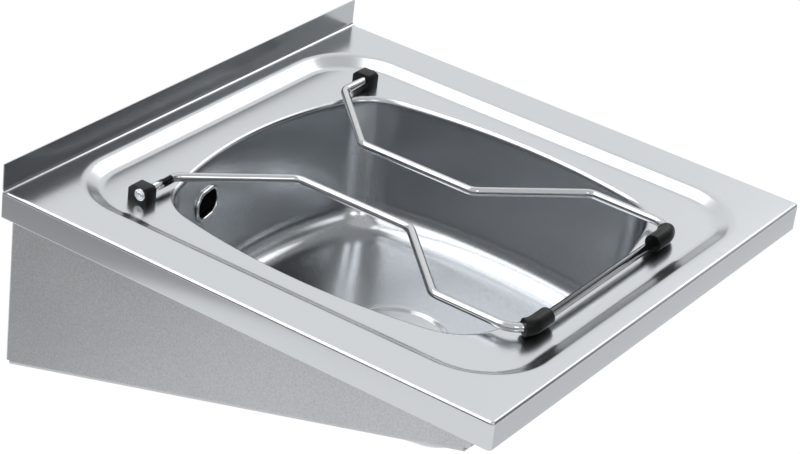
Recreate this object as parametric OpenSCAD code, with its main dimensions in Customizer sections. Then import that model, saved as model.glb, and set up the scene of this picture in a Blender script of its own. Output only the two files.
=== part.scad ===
// Wall-hung slop sink: a pressed steel deck and bowl on two folded brackets,
// with a hinged bucket grid, a strainer waste and an overflow.
// X runs along the wall, the wall is at y = 0, the user stands at -Y.
// The origin is the centre of the four wall fixing holes.

/* [Deck] */
// Width of the deck along the wall
deck_w = 500; // [480:10:600]
// Depth of the deck from the wall to its front
deck_d = 500; // [495:1:520]
// Height of the deck's top above the centre of the wall fixings
deck_top = 100; // [90:1:120]
// Thickness of the pressed sheet
sheet_t = 1.2; // [0.8:0.1:1.5]
// Height of the apron folded down at the front and sides
apron_h = 26; // [20:1:40]
// Width of the return at the apron's foot
lip_w = 9; // [6:0.5:10]
// Height of the upstand at the wall, above the deck
splash_h = 26; // [15:1:60]
// Outer radius of the fold between deck and apron
edge_r = 2.8; // [2:0.1:5]
// Radius of the two upright front corners
corner_r = 4; // [2:0.5:8]
// Inner radius of the fold between deck and upstand
splash_fold_r = 3; // [2:0.5:5]

/* [Recess] */
// Distance from the deck's sides to the top of the step
recess_side = 38; // [37:1:45]
// Distance from the deck's front to the top of the step
recess_front = 15; // [12:1:20]
// Distance from the wall to the top of the step
recess_gap = 14; // [12:1:18]
// Corner radius at the top of the step
recess_corner_r = 71; // [60:1:80]
// Depth of the recess
recess_depth = 8; // [6:0.5:9]
// Steepest slope of the step, in degrees
recess_slope = 29; // [26:1:40]
// Radius of the two bends of the step
recess_fold_r = 14; // [10:1:14]

/* [Bowl] */
// Distance from the recess's sides to the bowl's rim
bowl_side = 36; // [34:1:42]
// Distance from the recess's front to the bowl's rim
bowl_front = 46; // [44:1:50]
// Distance from the wall to the bowl's rim
bowl_gap = 64; // [60:1:68]
// Depth of the bowl below the deck's top
bowl_depth = 140; // [120:5:160]
// Radius of the bowed long sides
bowl_side_r = 582; // [500:10:800]
// Radius of the bowed ends
bowl_end_r = 393; // [350:10:500]
// Radius of the bowl's corners in plan
bowl_corner_r = 57; // [50:1:65]
// Radius of the rolled rim
rim_r = 5; // [4:0.5:6]
// Lean of the bowl's walls from upright, in degrees
bowl_draft = 4; // [2:0.5:6]
// Radius between the walls and the floor
bowl_foot_r = 28; // [20:1:32]
// Fall of the floor to its middle
bowl_fall = 3; // [2:0.5:5]
// Width of the bowl's flange outside its rim, up to the weld
seam_w = 8; // [6:1:9]

/* [Drain in the bowl] */
// Diameter of the pressed seat for the strainer, at its foot
seat_d = 88; // [86:1:96]
// Depth of that seat
seat_depth = 3; // [2:0.5:4]
// Run of the seat's sloping side
seat_run = 3; // [2:0.5:5]
// Diameter of the flat around the seat
flat_d = 112; // [104:2:120]
// Diameter of the hole for the waste
drain_d = 58; // [56:1:60]

/* [Overflow] */
// Distance from the bowl's side to the middle of the overflow
overflow_side = 109; // [101:1:126]
// Depth of the overflow's middle below the deck's top
overflow_drop = 50; // [46:1:56]
// Length of the overflow slot
overflow_w = 34; // [30:1:36]
// Height of the overflow slot
overflow_h = 22; // [20:1:24]
// Diameter of the bezel's bead
bead_d = 4; // [3:0.5:5]
// Width of the overflow head's flange
head_w = 66; // [64:1:72]
// Height of the overflow head's flange
head_h = 40; // [38:1:46]
// Depth of the overflow head from its flange's front to its back
head_depth = 30; // [29:1:34]

/* [Brackets] */
// Inset of a bracket's side from the deck's edge
bracket_inset = 12; // [11:0.5:14]
// Thickness of the bracket sheet
bracket_t = 2; // [1.5:0.5:3]
// Depth of a bracket at the wall, below the deck's top
bracket_drop = 178; // [165:1:200]
// Depth of a bracket at its front, below the deck's top
bracket_nose = 45; // [40:1:60]
// Distance from the deck's front to the bracket's front
bracket_gap = 25; // [20:1:40]
// Width of the flange on the wall
wall_flange_w = 44; // [40:1:60]
// Width of the flange under the deck
top_flange_w = 23; // [20:1:23]
// Width of the flanges along the slope and at the front
foot_flange_w = 14; // [10:1:20]
// Outer radius of the bracket's folds
bracket_fold_r = 4; // [3.5:0.5:6]
// Distance of the wall fixings from a bracket's side
fixing_side = 24; // [22:1:28]
// Spacing of the wall fixings up the wall
fixing_up = 90; // [80:5:110]
// Diameter of the wall fixing holes
fixing_d = 9; // [7:0.5:11]

/* [Grid] */
// Diameter of the grid's bar
rod_d = 8; // [7:0.5:9]
// Distance from the wall to the hinge line
pivot_gap = 84; // [82:1:88]
// Distance from the bowl's rim forward to the front bar
bar_front = 4; // [2:0.5:7]
// Half the distance between the arms at their narrow part
arm_in = 47.5; // [40:0.5:60]
// Distance from the blocks' outer faces to the arms' wide part
arm_side = 46; // [40:0.5:50]
// Length of the arms' wide part, up to the front bar
shoulder_l = 86.5; // [76:0.5:106]
// Bend radius of the arms, at the middle of the bar
arm_bend_r = 14; // [12:1:20]
// Bend radius of the two front corners
corner_bend_r = 22; // [16:1:26]
// Diameter of the rubber sleeves
sleeve_d = 16; // [14:0.5:18]
// Straight length of a sleeve
sleeve_l = 17; // [12:1:24]
// How far a sleeve reaches round the corner bend, in degrees
sleeve_turn = 35; // [20:1:45]

/* [Pivot blocks] */
// Thickness of a block along the hinge line
block_w = 14; // [12:0.5:16]
// Length of a block
block_l = 20.5; // [19:0.5:24]
// Height of a block
block_h = 14; // [13.5:0.5:16]
// Distance from the bowl's side to the blocks' outer faces
block_side = 6; // [4:0.5:8]
// Distance from a block's front face to the hinge line
block_nose = 6.5; // [6:0.5:8]
// Chamfer along the rear of a block's top
block_chamfer = 4; // [2:0.5:5]
// Diameter of the retaining rings on the bar's ends
ring_d = 11; // [10:0.5:12]
// Thickness of those rings
ring_t = 1.2; // [1:0.1:2]

/* [Fasteners] */
// Thread diameter of the studs below the deck
stud_d = 6; // [5:1:8]
// Length of those studs
stud_l = 16; // [14:1:20]
// Thread diameter of the pivot screws
pivot_screw_d = 5; // [4:1:5]
// Thread diameter of the overflow head's studs
small_stud_d = 4; // [3:0.5:5]

/* [Waste] */
// Diameter of the strainer
strainer_d = 84; // [80:1:86]
// Depth of the strainer's cup
cup_depth = 9; // [8:0.5:10]
// Thickness of the strainer
strainer_t = 1.5; // [1:0.1:1.5]
// Diameter of a strainer hole
strainer_hole_d = 5.6; // [4:0.1:6]
// Outer diameter of the waste body's flange
waste_flange_d = 80; // [78:1:86]
// Outer diameter of the outlet's thread
outlet_d = 47.8; // [47.8:0.1:48.2]
// Length of the outlet's thread
outlet_l = 20; // [18:1:24]
// Height of the waste body
waste_h = 58; // [56:1:62]
// Wall of the waste body, overflow head and overflow pipe
plastic_t = 2.5; // [2:0.1:3]
// Outer diameter of the overflow pipe
pipe_d = 25; // [24:0.5:26]
// Bend radius of the overflow pipe
pipe_bend_r = 30; // [25:1:36]

/* [Hidden] */

$fn = 64;
// Overrun of a cut past the face that it opens
cut = 1;
// Gap left between faces that only rest on each other
rest_gap = 0.3;
// Clearance all round a part that fills a hole
fit_gap = 0.1;
// Radial clearance of the bar in its blocks
running_gap = 0.05;
// How far the recess pressing laps into the flat deck
lap = 2;
// Room for the flats of a faceted wall beside a round one
facet_gap = 0.25;

// Notch between two folded flanges of a bracket
notch = 1.5;

// Widths and lengths that follow the deck's
recess_w = deck_w - 2 * recess_side;
recess_l = deck_d - recess_gap - recess_front;
bowl_w = recess_w - 2 * bowl_side;
bowl_l = recess_gap + recess_l - bowl_front - bowl_gap;
overflow_x = bowl_w / 2 - overflow_side;
block_out = bowl_w / 2 - block_side;
arm_out = block_out - arm_side;
grid_reach = bowl_gap + bowl_l + bar_front - pivot_gap;
waist_l = grid_reach - 2 * (arm_out - arm_in) - shoulder_l;
fixing_across = deck_w - 2 * (bracket_inset + fixing_side);

// Studs, washers and nuts below the deck
stud_inset = 12;
stud_back_shares = [0.12, 0.5, 0.86];
stud_washer_d = 12.5;
stud_washer_t = 1.6;
stud_nut_w = 10;
stud_nut_t = 5;
stud_washer_z = deck_top - sheet_t - bracket_t - stud_washer_t;

// Pivot blocks and what screws them down
block_rear = -pivot_gap - block_nose + block_l;
block_mid = block_out - block_w / 2;
pivot_screw_y = (block_rear - pivot_gap + rod_d / 2 + running_gap) / 2;
pivot_screw_in = 9;
pivot_washer_d = 10;
pivot_washer_t = 1;
pivot_head_d = 8.5;
pivot_head_h = 4;
centre_dot_d = 2.5;

// Strainer, its screw and the seals
cup_play = 2;
hole_ring_shares = [0.42, 0.75];
strainer_screw_d = 6;
strainer_screw_l = 16;
strainer_head_d = 11;
strainer_head_h = 3;
strainer_seal_t = 1;
gasket_t = 3;

// Waste body and overflow
waste_flange_t = 4;
outlet_bore_r = 20;
boss_d = 13;
boss_h = 20;
spigot_d = 19.8;
spigot_l = 14;
pipe_nut_d = 32;
pipe_nut_l = 14;
pipe_room = 2;
bezel_t = 1.2;
seal_t = 3;
head_corner_r = 6;
small_nut_w = 7;
small_nut_t = 3.2;
pad_t = 2;
pad_shares = [0.15, 1 / 3, 2 / 3, 0.75];

// Steps in a quarter of an outline, along its side and round its corner
side_steps = 5;
corner_steps = 8;
// Steps in each bend of the recess, in the rim and in the foot of the bowl
fold_steps = 4;
rim_steps = 5;
foot_steps = 7;
// Sides of the grid's bent bar, degrees in one step of its bends, and how far they lie inside
bar_sides = 20;
bend_step = 7.5;
bend_play = 0.05;

recess_y = -recess_gap - recess_l / 2;
bowl_y = -bowl_gap - bowl_l / 2;
recess_floor = deck_top - recess_depth;
bowl_floor = deck_top - bowl_depth;
bracket_x = deck_w / 2 - bracket_inset;
bracket_front = -deck_d + bracket_gap;
pivot_z = recess_floor + sleeve_d / 2 + rest_gap;
bar_y = -pivot_gap - grid_reach;

// Plane geometry of the outlines
function unit(v) = v / norm(v);
function left_of(v) = [-v[1], v[0]];
function line(p, q, n) = [for (i = [0:n - 1]) p + (q - p) * i / n];
function arc(c, r, a, b, n) =
    [for (i = [0:n - 1]) let (t = a + (b - a) * i / n) c + r * [cos(t), sin(t)]];
// Crossing of two circles, on the left of the line from c to d
function crossing(c, r, d, s) =
    let (l = norm(d - c), a = (r * r - s * s + l * l) / (2 * l), h = sqrt(r * r - a * a))
    c + a * unit(d - c) + h * left_of(unit(d - c));
// A whole outline from its first quarter, which runs from the X axis to the Y axis
function whole(q) =
    let (n = len(q) - 1)
    concat([for (i = [0:n - 1]) q[i]], [for (i = [n:-1:1]) [-q[i][0], q[i][1]]],
        [for (i = [0:n - 1]) -q[i]], [for (i = [n:-1:1]) [q[i][0], -q[i][1]]]);
function place(ring, y, z) = [for (p = ring) [p[0], p[1] + y, z]];

// Centres of the arcs of the bowl's bowed outline
side_c = [bowl_w / 2 - bowl_side_r, 0];
end_c = [0, bowl_l / 2 - bowl_end_r];
bowl_corner_c = crossing(side_c, bowl_side_r - bowl_corner_r, end_c, bowl_end_r - bowl_corner_r);
side_turn = atan2(bowl_corner_c[1] - side_c[1], bowl_corner_c[0] - side_c[0]);
end_turn = atan2(bowl_corner_c[1] - end_c[1], bowl_corner_c[0] - end_c[0]);
// As many steps along an end as keep its flats within their room beside the round overflow
end_steps = ceil((90 - end_turn) / 2 / acos(1 - facet_gap / bowl_end_r));
// The bowl's outline, drawn in by t
function barrel(t) = whole(concat(
    arc(side_c, bowl_side_r - t, 0, side_turn, side_steps),
    arc(bowl_corner_c, bowl_corner_r - t, side_turn, end_turn, corner_steps),
    arc(end_c, bowl_end_r - t, end_turn, 90, end_steps),
    [end_c + [0, bowl_end_r - t]]));
// The recess's outline, drawn in by t
recess_corner_c = [recess_w / 2 - recess_corner_r, recess_l / 2 - recess_corner_r];
function recess_line(t) =
    let (w = recess_w / 2 - t, l = recess_l / 2 - t)
    whole(concat(
        line([w, 0], [w, recess_corner_c[1]], side_steps),
        arc(recess_corner_c, recess_corner_r - t, 0, 90, corner_steps),
        line([recess_corner_c[0], l], [0, l], end_steps),
        [[0, l]]));
// A circle with one point for each point of the bowl's outline
function round_line(r) = [for (p = barrel(0)) r * unit(p)];

// Section of the recess's step: how far in, how far down, and the surface's normal
step_drop = recess_depth - 2 * recess_fold_r * (1 - cos(recess_slope));
step_run = step_drop / tan(recess_slope);
step_w = 2 * recess_fold_r * sin(recess_slope) + step_run;
step_section = concat(
    [[-lap, 0, 0, 1]],
    [for (i = [0:fold_steps]) let (a = recess_slope * i / fold_steps)
        [recess_fold_r * sin(a), -recess_fold_r * (1 - cos(a)), sin(a), cos(a)]],
    [for (i = [fold_steps:-1:0]) let (a = recess_slope * i / fold_steps)
        [step_w - recess_fold_r * sin(a), recess_fold_r * (1 - cos(a)) - recess_depth, sin(a), cos(a)]]);

// Section of the bowl's rim, wall and foot, in the same form, below the recess's floor
wall_h = bowl_depth - recess_depth - bowl_fall;
rim_drop = rim_r * (1 - sin(bowl_draft));
foot_top = wall_h - bowl_foot_r * (1 - sin(bowl_draft));
foot_in = (rim_r + bowl_foot_r) * cos(bowl_draft) + tan(bowl_draft) * (foot_top - rim_drop);
bowl_section = concat(
    [[-seam_w, 0, 0, 1]],
    [for (i = [0:rim_steps]) let (a = (90 - bowl_draft) * i / rim_steps)
        [rim_r * sin(a), -rim_r * (1 - cos(a)), sin(a), cos(a)]],
    [for (i = [foot_steps:-1:0]) let (a = (90 - bowl_draft) * i / foot_steps)
        [foot_in - bowl_foot_r * sin(a), bowl_foot_r * (1 - cos(a)) - wall_h, sin(a), cos(a)]]);
// How far in the wall stands at a depth below the recess's floor
function wall_in(depth) = rim_r * cos(bowl_draft) + tan(bowl_draft) * (depth - rim_drop);

// Outline of the floor, from its edge at share 0 to the flat round the drain at share 1
function floor_line(share) =
    let (a = barrel(foot_in), b = round_line(flat_d / 2))
    [for (i = [0:len(a) - 1]) a[i] + (b[i] - a[i]) * share];
floor_edge = bowl_floor + bowl_fall;
floor_shares = [1 / 3, 2 / 3, 1];

// Rings of the sheet's face at a depth t under the show face
function step_rings(t) = concat(
    [for (p = step_section) place(recess_line(p[0] - t * p[2]), recess_y, deck_top + p[1] - t * p[3])],
    [place(barrel(-seam_w), bowl_y, recess_floor - t)]);
function bowl_rings(t) = concat(
    [for (p = bowl_section) place(barrel(p[0] - t * p[2]), bowl_y, recess_floor + p[1] - t * p[3])],
    [for (s = floor_shares) place(floor_line(s), bowl_y, floor_edge - s * bowl_fall - t)],
    [place(round_line(seat_d / 2 + seat_run), bowl_y, bowl_floor - t)],
    [place(round_line(seat_d / 2), bowl_y, bowl_floor - seat_depth - t)]);
function turned(list) = [for (i = [len(list) - 1:-1:0]) list[i]];

// Triangles between ring i and ring k of n points each
function band(i, k, n) = [for (j = [0:n - 1], half = [0, 1])
    let (a = i * n, b = k * n, q = (j + 1) % n)
    half == 0 ? [a + j, b + j, b + q] : [a + j, b + q, a + q]];
// A solid skinned over rings, closed by a flat face at each end
module skin(rings) {
    n = len(rings[0]);
    m = len(rings);
    polyhedron(points = [for (r = rings) each r],
        faces = concat(
            [[for (j = [0:n - 1]) j]],
            [for (i = [0:m - 2]) each band(i, i + 1, n)],
            [[for (j = [n - 1:-1:0]) (m - 1) * n + j]]),
        convexity = 8);
}
// The same, with the last ring joined to the first
module skin_loop(rings) {
    n = len(rings[0]);
    m = len(rings);
    polyhedron(points = [for (r = rings) each r],
        faces = [for (i = [0:m - 1]) each band(i, (i + 1) % m, n)],
        convexity = 8);
}

// Flat shapes used in several pieces
module rounded_plate(w, l, r) {
    square([w - 2 * r, l], center = true);
    square([w, l - 2 * r], center = true);
    for (x = [-1, 1], y = [-1, 1])
        translate([x * (w / 2 - r), y * (l / 2 - r)])
            circle(r);
}
module obround(w, h) {
    square([w - h, h], center = true);
    for (x = [-1, 1])
        translate([x * (w - h) / 2, 0])
            circle(h / 2);
}
module ring(r_out, r_in) {
    difference() {
        circle(r_out);
        circle(r_in);
    }
}
// The same shapes set along +Y
module along_y(l) {
    rotate([-90, 0, 0])
        linear_extrude(l)
            children();
}
module both_sides() {
    for (side = [-1, 1])
        scale_x(side)
            children();
}
module scale_x(side) {
    mirror([side < 0 ? 1 : 0, 0, 0])
        children();
}

// Block with its top, front and upright front edges rounded, t in from the deck's outside
module tray(t, foot) {
    w = deck_w / 2 - t;
    front = -deck_d + t;
    top = deck_top - t;
    r = edge_r - t;
    c = corner_r - t;
    intersection() {
        translate([0, 0, foot])
            linear_extrude(top - foot)
                union() {
                    translate([-w, front + c])
                        square([2 * w, -front - c + (t > 0 ? cut : 0)]);
                    translate([c - w, front])
                        square([2 * (w - c), c]);
                    for (x = [-1, 1])
                        translate([x * (w - c), front + c])
                            circle(c);
                }
        translate([0, front, 0])
            rotate([90, 0, 0])
                mirror([0, 0, 1])
                    linear_extrude(-front + cut)
                        union() {
                            translate([-w, foot])
                                square([2 * w, top - r - foot]);
                            translate([r - w, foot])
                                square([2 * (w - r), top - foot]);
                            for (x = [-1, 1])
                                translate([x * (w - r), top - r])
                                    circle(r);
                        }
        translate([-w, 0, 0])
            rotate([90, 0, 90])
                linear_extrude(2 * w)
                    union() {
                        translate([front, foot])
                            square([-front + cut, top - r - foot]);
                        translate([front + r, foot])
                            square([-front - r + cut, top - foot]);
                        translate([front + r, top - r])
                            circle(r);
                    }
    }
}

// Upstand with the fold at its foot
module upstand() {
    fold = splash_fold_r + sheet_t;
    translate([-deck_w / 2, 0, 0])
        rotate([90, 0, 90])
            linear_extrude(deck_w)
                union() {
                    translate([-sheet_t, deck_top + splash_fold_r])
                        square([sheet_t, splash_h - splash_fold_r]);
                    intersection() {
                        translate([-fold, deck_top + splash_fold_r])
                            ring(fold, splash_fold_r);
                        translate([-fold, deck_top - sheet_t])
                            square(fold);
                    }
                }
}

module deck() {
    fold = splash_fold_r + sheet_t;
    foot = deck_top - apron_h;
    color("#c3c7cb")
        difference() {
            union() {
                difference() {
                    tray(0, foot);
                    tray(sheet_t, foot + sheet_t);
                    // Opening inside the returns at the aprons' foot
                    translate([lip_w - deck_w / 2, lip_w - deck_d, foot - cut])
                        cube([deck_w - 2 * lip_w, deck_d, apron_h / 2]);
                    // Flat sheet gives way to the fold of the upstand
                    translate([-deck_w / 2 - cut, -fold, deck_top - sheet_t])
                        cube([deck_w + 2 * cut, fold + cut, sheet_t + cut]);
                    // Opening for the pressed recess
                    translate([0, recess_y, deck_top - sheet_t - cut])
                        linear_extrude(sheet_t + 2 * cut)
                            rounded_plate(recess_w + lap, recess_l + lap, recess_corner_r + lap / 2);
                }
                upstand();
                skin_loop(concat(step_rings(0), turned(step_rings(sheet_t))));
            }
            both_sides()
                translate([block_mid, pivot_screw_y, recess_floor - sheet_t - cut])
                    cylinder(h = sheet_t + 2 * cut, d = pivot_screw_d + 2 * rest_gap);
        }
}

module bowl() {
    color("#9b9fa3")
        difference() {
            skin(concat(turned(bowl_rings(sheet_t)), bowl_rings(0)));
            translate([0, bowl_y, bowl_floor - seat_depth - sheet_t - cut])
                cylinder(h = sheet_t + 2 * cut, d = drain_d);
            at_overflow(bowl_draft)
                translate([0, -cut, 0])
                    along_y(sheet_t + 2 * cut)
                        obround(overflow_w + 2 * (bezel_t + fit_gap), overflow_h + 2 * (bezel_t + fit_gap));
        }
}

// One bar or tube along a path of straight runs joined by bends, in the XY plane
function heading(path, i) = unit(path[i + 1] - path[i]);
function turn_at(path, i) =
    let (u = heading(path, i - 1), v = heading(path, i))
    atan2(u[0] * v[1] - u[1] * v[0], u * v);
function setback(path, radii, i) =
    radii[i] == 0 ? 0 : radii[i] * tan(abs(turn_at(path, i)) / 2);
module bent_bar(path, radii, d) {
    for (i = [0:len(path) - 2]) {
        u = heading(path, i);
        a = path[i] + u * setback(path, radii, i);
        b = path[i + 1] - u * setback(path, radii, i + 1);
        translate([a[0], a[1], 0])
            rotate([0, 90, atan2(u[1], u[0])])
                cylinder(h = norm(b - a), d = d);
    }
    for (i = [1:len(path) - 2]) {
        u = heading(path, i - 1);
        v = heading(path, i);
        side = sign(turn_at(path, i));
        start = path[i] - u * setback(path, radii, i);
        centre = start + side * radii[i] * left_of(u);
        from = side > 0 ? -left_of(u) : left_of(v);
        translate([centre[0], centre[1], 0])
            rotate([0, 0, atan2(from[1], from[0])])
                rotate_extrude(angle = abs(turn_at(path, i)))
                    translate([radii[i], 0])
                        circle(d = d);
    }
}

// Upright sheet of a bracket with its wall and front flanges, seen from above
module bracket_plan() {
    r = bracket_fold_r;
    difference() {
        union() {
            translate([bracket_x - wall_flange_w, bracket_front])
                square([wall_flange_w - r, -bracket_front]);
            translate([bracket_x - r, bracket_front + r])
                square([r, -bracket_front - 2 * r]);
            for (y = [bracket_front + r, -r])
                translate([bracket_x - r, y])
                    circle(r);
        }
        translate([bracket_x - wall_flange_w - cut, bracket_front + bracket_t])
            square([wall_flange_w - r + cut, -bracket_front - 2 * bracket_t]);
        translate([bracket_x - r, bracket_front + r])
            square([r - bracket_t, -bracket_front - 2 * r]);
        for (y = [bracket_front + r, -r])
            translate([bracket_x - r, y])
                circle(r - bracket_t);
        // Shorter flange at the front
        translate([bracket_x - wall_flange_w - cut, bracket_front - cut])
            square([wall_flange_w - foot_flange_w + cut, bracket_t + 2 * cut]);
    }
}
// Folded flange along +Y: its face on the XY plane, the bracket's side rising or hanging from it
module side_flange(w, l) {
    r = bracket_fold_r;
    rotate([90, 0, 0])
        mirror([0, 0, 1])
            linear_extrude(l)
                difference() {
                    union() {
                        translate([bracket_x - w, 0])
                            square([w - r, bracket_t]);
                        translate([bracket_x - bracket_t, r])
                            square([bracket_t, r]);
                        translate([bracket_x - r, 0])
                            intersection() {
                                square(r);
                                translate([0, r])
                                    circle(r);
                            }
                    }
                    translate([bracket_x - r, r])
                        circle(r - bracket_t);
                }
}
module bracket() {
    r = bracket_fold_r;
    top = deck_top - sheet_t;
    heel = deck_top - bracket_drop;
    toe = deck_top - bracket_nose;
    slope = atan2(toe - heel, -bracket_front);
    rise = (r + cut) / cos(slope);
    color("#989c9f")
        difference() {
            union() {
                intersection() {
                    translate([0, 0, heel])
                        linear_extrude(top - heel)
                            bracket_plan();
                    translate([bracket_x - wall_flange_w, 0, 0])
                        rotate([90, 0, 90])
                            linear_extrude(wall_flange_w)
                                polygon([[0, heel + rise], [0, top - r - cut],
                                    [bracket_front, top - r - cut], [bracket_front, toe + rise]]);
                }
                // Flange below the deck, notched clear of the upright folds
                translate([0, bracket_front + r + notch, top])
                    mirror([0, 0, 1])
                        side_flange(top_flange_w, -bracket_front - 2 * (r + notch));
                // Flange along the slope, notched in the same way
                intersection() {
                    translate([0, 0, heel])
                        rotate([-slope, 0, 0])
                            translate([0, 2 * bracket_front, 0])
                                side_flange(foot_flange_w, -3 * bracket_front);
                    translate([0, bracket_front + r + notch, heel - cut])
                        cube([bracket_x + cut, -bracket_front - 2 * (r + notch), top - heel]);
                }
            }
            for (z = [-1, 1])
                translate([fixing_across / 2, -bracket_t - cut, z * fixing_up / 2])
                    along_y(bracket_t + 2 * cut)
                        circle(d = fixing_d);
            at_studs(top - bracket_t - cut)
                cylinder(h = bracket_t + 2 * cut, d = stud_d + 2 * rest_gap);
        }
}
module at_studs(z) {
    for (share = stud_back_shares)
        translate([bracket_x - stud_inset, -share * deck_d, z])
            children();
}
module left_bracket() {
    scale_x(-1)
        bracket();
}
module right_bracket() {
    bracket();
}

// Studs below the deck, with their washers and nuts
module hex_nut(across, h, d) {
    difference() {
        cylinder(h = h, d = across / cos(30), $fn = 6);
        translate([0, 0, -cut])
            cylinder(h = h + 2 * cut, d = d);
    }
}
module washer(d, h, hole) {
    linear_extrude(h)
        ring(d / 2, hole / 2);
}
module weld_studs() {
    color("#b9bcbe")
        both_sides()
            at_studs(deck_top - sheet_t - stud_l)
                cylinder(h = stud_l, d = stud_d);
}
module stud_washers() {
    color("#a9acae")
        both_sides()
            at_studs(stud_washer_z)
                washer(stud_washer_d, stud_washer_t, stud_d + 2 * rest_gap);
}
module stud_nuts() {
    color("#a9acae")
        both_sides()
            at_studs(stud_washer_z - stud_nut_t)
                hex_nut(stud_nut_w, stud_nut_t, stud_d);
}

// Hinge of the grid
module pivot_block() {
    front = -pivot_gap - block_nose;
    c = block_chamfer;
    f = block_chamfer * 3 / 4;
    color("#1d1e20")
        difference() {
            translate([block_out - block_w, 0, 0])
                rotate([90, 0, 90])
                    linear_extrude(block_w)
                        translate([front, recess_floor])
                            difference() {
                                polygon([[0, 0], [block_l, 0], [block_l, block_h - c],
                                    [block_l - c, block_h], [f, block_h], [0, block_h - f]]);
                                translate([block_nose, pivot_z - recess_floor])
                                    circle(rod_d / 2 + running_gap);
                            }
            translate([block_mid, pivot_screw_y, recess_floor - cut])
                cylinder(h = pivot_screw_in + cut + rest_gap, d = pivot_screw_d + 2 * fit_gap);
        }
}
module pivot_block_left() {
    scale_x(-1)
        pivot_block();
}
module pivot_block_right() {
    pivot_block();
}
module pivot_screws() {
    head_z = recess_floor - sheet_t - pivot_washer_t;
    color("#b9bcbe")
        both_sides()
            translate([block_mid, pivot_screw_y, head_z]) {
                cylinder(h = pivot_screw_in + recess_floor - head_z, d = pivot_screw_d);
                translate([0, 0, -pivot_head_h])
                    difference() {
                        cylinder(h = pivot_head_h, d = pivot_head_d);
                        translate([0, 0, -cut])
                            cylinder(h = cut + pivot_head_h / 2, d = pivot_screw_d * 0.9, $fn = 6);
                    }
            }
}
module pivot_washers() {
    color("#a9acae")
        both_sides()
            translate([block_mid, pivot_screw_y, recess_floor - sheet_t - pivot_washer_t])
                washer(pivot_washer_d, pivot_washer_t, pivot_screw_d + 2 * fit_gap);
}

// Grid
grid_end = block_out + rest_gap + ring_t;
waist_front = -pivot_gap - (arm_out - arm_in) - waist_l;
arm_path = [[block_mid, -pivot_gap], [arm_out, -pivot_gap], [arm_in, waist_front + waist_l],
    [arm_in, waist_front], [arm_out, waist_front - (arm_out - arm_in)], [arm_out, bar_y]];
arm_radii = [0, arm_bend_r, arm_bend_r, arm_bend_r, arm_bend_r, corner_bend_r];
grid_path = concat(arm_path, turned([for (p = arm_path) [-p[0], p[1]]]));
grid_radii = concat(arm_radii, turned(arm_radii));
// Places along the grid's path, each with its heading
function spin(v, a) = [v[0] * cos(a) - v[1] * sin(a), v[0] * sin(a) + v[1] * cos(a)];
function bend_places(path, radii, i) =
    let (u = heading(path, i - 1), t = turn_at(path, i), r = sign(t) * radii[i],
        centre = path[i] - u * setback(path, radii, i) + r * left_of(u), n = ceil(abs(t) / bend_step))
    [for (k = [0:n]) let (h = spin(u, t * k / n)) [centre - r * left_of(h), h]];
function places(path, radii) = concat(
    [[path[0], heading(path, 0)]],
    [for (i = [1:len(path) - 2]) each bend_places(path, radii, i)],
    [[path[len(path) - 1], heading(path, len(path) - 2)]]);
function bar_sweep(path, radii, r, z) = [for (p = places(path, radii))
    [for (k = [0:bar_sides - 1]) let (a = 360 * k / bar_sides, q = p[0] + r * cos(a) * left_of(p[1]))
        [q[0], q[1], z + r * sin(a)]]];
module grid_bar() {
    color("#cfd1d3")
        difference() {
            union() {
                skin(bar_sweep(grid_path, grid_radii, rod_d / 2 - bend_play, pivot_z));
                // True round ends in the pivot blocks
                both_sides()
                    translate([arm_out + arm_bend_r / 2, -pivot_gap, pivot_z])
                        rotate([0, 90, 0])
                            cylinder(h = grid_end - arm_out - arm_bend_r / 2, d = rod_d);
            }
            both_sides()
                translate([grid_end, -pivot_gap, pivot_z])
                    rotate([0, 90, 0])
                        cylinder(h = centre_dot_d, r1 = 0, r2 = centre_dot_d, center = true);
        }
}
module sleeve() {
    color("#18191a")
        translate([arm_out - corner_bend_r, bar_y + corner_bend_r, pivot_z]) {
            rotate([0, 0, -90])
                rotate_extrude(angle = sleeve_turn)
                    translate([corner_bend_r, 0])
                        ring(sleeve_d / 2, rod_d / 2);
            translate([0, -corner_bend_r, 0])
                rotate([0, -90, 0])
                    linear_extrude(sleeve_l)
                        ring(sleeve_d / 2, rod_d / 2);
        }
}
module sleeve_left() {
    scale_x(-1)
        sleeve();
}
module sleeve_right() {
    sleeve();
}
module bar_rings() {
    color("#c6c8ca")
        both_sides()
            translate([block_out + rest_gap, -pivot_gap, pivot_z])
                rotate([0, 90, 0])
                    linear_extrude(ring_t)
                        ring(ring_d / 2, rod_d / 2);
}

// Waste, on the upright axis of the drain
seat_z = bowl_floor - seat_depth;
strainer_z = seat_z + strainer_seal_t;
waste_top = seat_z - sheet_t - gasket_t;
waste_foot = waste_top - waste_h;
throat_r = drain_d / 2 + rest_gap;
chamber_r = throat_r + plastic_t;
module on_drain(z) {
    translate([0, bowl_y, z])
        children();
}
module strainer() {
    rim = drain_d / 2 - cup_play;
    foot = rim - cup_depth / 3;
    color("#c9cbcd")
        on_drain(strainer_z)
            difference() {
                rotate_extrude()
                    polygon([[0, -cup_depth], [foot, -cup_depth], [rim, 0], [strainer_d / 2, 0],
                        [strainer_d / 2, strainer_t], [rim - strainer_t, strainer_t],
                        [foot - strainer_t, strainer_t - cup_depth], [0, strainer_t - cup_depth]]);
                translate([0, 0, -cup_depth - cut]) {
                    cylinder(h = strainer_t + 2 * cut, d = strainer_screw_d + 2 * fit_gap);
                    for (k = [0, 1], i = [1:6 * (k + 1)])
                        rotate([0, 0, i * 60 / (k + 1)])
                            translate([hole_ring_shares[k] * foot, 0, 0])
                                cylinder(h = strainer_t + 2 * cut, d = strainer_hole_d);
                }
            }
}
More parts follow.
